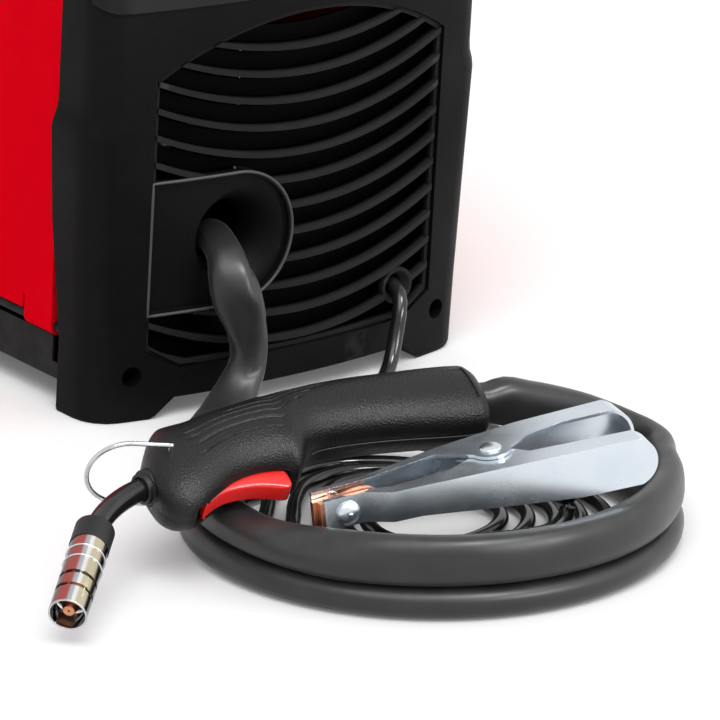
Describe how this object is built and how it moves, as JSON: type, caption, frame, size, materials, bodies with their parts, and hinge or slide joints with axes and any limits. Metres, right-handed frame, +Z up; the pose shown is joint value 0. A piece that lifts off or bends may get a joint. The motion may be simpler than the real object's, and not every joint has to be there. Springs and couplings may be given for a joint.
{
  "type": "mig welding machine",
  "caption": "Compact wire-feed arc welding machine: red case with black louvred end mouldings, a coiled torch with trigger and gas nozzle, and an earth clamp on its cable.",
  "frame": {"origin": "on the floor under the middle of the case", "axes": "+Z up, front of the case towards -Y, +X to the right of someone who faces along +Y"},
  "size_m": [0.4179, 0.771, 0.36],
  "materials": {
    "black_plastic": "fine grained moulded plastic",
    "panel_black": "smooth dark panel",
    "display": "glossy dark window",
    "knob_black": "satin knob",
    "button_grey": "light grey button",
    "red_paint": "smooth semi-gloss powder coat",
    "black_paint": "satin black paint",
    "zinc": "bright zinc plate",
    "steel": "turned steel",
    "nozzle_chrome": "polished nickel plate",
    "copper": "bare copper",
    "brass": "turned brass",
    "aluminium": "cast and extruded aluminium",
    "iron": "motor and core steel",
    "board": "circuit board",
    "dark_plastic": "moulded plastic",
    "spool_plastic": "moulded spool",
    "wire": "coppered steel wire",
    "trigger_red": "glossy red plastic",
    "rocker_red": "glossy red plastic",
    "sleeve": "soft cable sleeve",
    "cable_black": "smooth cable sheath"
  },
  "bodies": {
    "case": {"front_frame": "black_plastic", "front_grille": "black_plastic", "torch_outlet": "black_plastic", "control_panel": "panel_black", "display_lens": "display", "rear_frame": "black_plastic", "rear_grille": "black_plastic", "cover": "red_paint", "hinge_rod": "steel", "base_tray": "black_paint", "divider": "zinc", "carry_handle": "black_plastic", "body_screws": "steel", "spool_spindle": "dark_plastic", "feed_plate": "dark_plastic", "feed_motor": "iron", "wire_guides": "brass", "torch_block": "brass", "fan_frame": "dark_plastic", "heatsink": "aluminium", "power_board": "board", "transformer": "iron", "switch_housing": "dark_plastic", "mains_gland": "dark_plastic", "gas_inlet": "brass", "handle_upper": "black_plastic", "handle_lower": "black_plastic", "swan_neck": "cable_black", "neck_collar": "dark_plastic", "nozzle_insulator": "dark_plastic", "gas_nozzle": "nozzle_chrome", "contact_tip": "copper", "tip_holder": "steel", "torch_cable": "sleeve", "torch_coil": "sleeve", "clamp_front_arm": "zinc", "clamp_pivot": "zinc", "clamp_spring": "steel", "clamp_front_pad": "copper", "clamp_lug": "copper", "earth_cable": "cable_black", "earth_coil": "cable_black"},
    "door": {"side_door": "red_paint"},
    "latch": {"door_latch": "knob_black"},
    "current_dial": {"current_knob": "knob_black"},
    "speed_dial": {"speed_knob": "knob_black"},
    "mode_key": {"mode_button": "button_grey"},
    "gas_key": {"gas_button": "button_grey"},
    "spool": {"wire_spool": "spool_plastic", "wire_winding": "wire"},
    "drive": {"drive_roll": "steel"},
    "arm": {"pressure_arm": "aluminium"},
    "idler": {"idler_roll": "steel"},
    "tension": {"tension_knob": "knob_black"},
    "rotor": {"fan_rotor": "dark_plastic"},
    "rocker": {"switch_rocker": "rocker_red"},
    "trigger_lever": {"trigger": "trigger_red"},
    "hook": {"torch_hook": "steel"},
    "clamp_jaw": {"clamp_rear_arm": "zinc", "clamp_rear_pad": "copper"}
  },
  "joints": [
    {"name": "door_hinge", "type": "hinge", "parent": "case", "child": "door", "pos_m": [-0.1104, 0, 0.0405], "axis": [0, -1, 0], "range_deg": [0, 95]},
    {"name": "latch_turn", "type": "hinge", "parent": "door", "child": "latch", "pos_m": [-0.115, 0, 0.238], "axis": [1, 0, 0], "range_deg": [0, 90]},
    {"name": "current_turn", "type": "hinge", "parent": "case", "child": "current_dial", "pos_m": [-0.066, -0.2193, 0.238], "axis": [0, -0.9848, 0.1736], "range_deg": [-135, 135]},
    {"name": "speed_turn", "type": "hinge", "parent": "case", "child": "speed_dial", "pos_m": [0.066, -0.2193, 0.238], "axis": [0, -0.9848, 0.1736], "range_deg": [-135, 135]},
    {"name": "mode_press", "type": "slide", "parent": "case", "child": "mode_key", "axis": [0, 0.9848, -0.1736], "range_m": [0, 0.0015], "stiffness_N_per_m": 400, "springref_m": -0.002},
    {"name": "gas_press", "type": "slide", "parent": "case", "child": "gas_key", "axis": [0, 0.9848, -0.1736], "range_m": [0, 0.0015], "stiffness_N_per_m": 400, "springref_m": -0.002},
    {"name": "spool_spin", "type": "hinge", "parent": "case", "child": "spool", "pos_m": [-0.0615, 0.072, 0.152], "axis": [1, 0, 0], "continuous": true},
    {"name": "drive_spin", "type": "hinge", "parent": "case", "child": "drive", "pos_m": [-0.041, -0.118, 0.0701], "axis": [1, 0, 0], "continuous": true},
    {"name": "arm_lift", "type": "hinge", "parent": "case", "child": "arm", "pos_m": [-0.0305, -0.15, 0.1095], "axis": [1, 0, 0], "range_deg": [0, 60]},
    {"name": "idler_spin", "type": "hinge", "parent": "arm", "child": "idler", "pos_m": [-0.041, -0.118, 0.0969], "axis": [1, 0, 0], "continuous": true},
    {"name": "tension_turn", "type": "hinge", "parent": "arm", "child": "tension", "pos_m": [-0.037, -0.089, 0.1095], "axis": [0, 0, 1], "range_deg": [-180, 180]},
    {"name": "rotor_spin", "type": "hinge", "parent": "case", "child": "rotor", "pos_m": [0.045, 0.21, 0.15], "axis": [0, 1, 0], "continuous": true},
    {"name": "rocker_tilt", "type": "hinge", "parent": "case", "child": "rocker", "pos_m": [-0.07, 0.224, 0.235], "axis": [1, 0, 0], "range_deg": [-12, 12]},
    {"name": "trigger_pull", "type": "hinge", "parent": "case", "child": "trigger_lever", "pos_m": [-0.19319, -0.39898, 0.03913], "axis": [-0.0879, -0.3807, 0.9205], "range_deg": [0, 5], "stiffness_Nm_per_rad": 0.4, "springref_deg": -5.73},
    {"name": "hook_swing", "type": "hinge", "parent": "case", "child": "hook", "pos_m": [-0.2003, -0.37864, 0.04687], "axis": [0.0879, 0.3807, -0.9205], "range_deg": [0, 100]},
    {"name": "clamp_open", "type": "hinge", "parent": "case", "child": "clamp_jaw", "pos_m": [-0.07305, -0.45657, 0.04716], "axis": [0.1501, -0.0442, -0.9877], "range_deg": [0, 14], "stiffness_Nm_per_rad": 2, "springref_deg": -17.19}
  ],
  "couplings": [
    {"joint": "idler_spin", "follows": "drive_spin", "ratio": -1.3636}
  ]
}
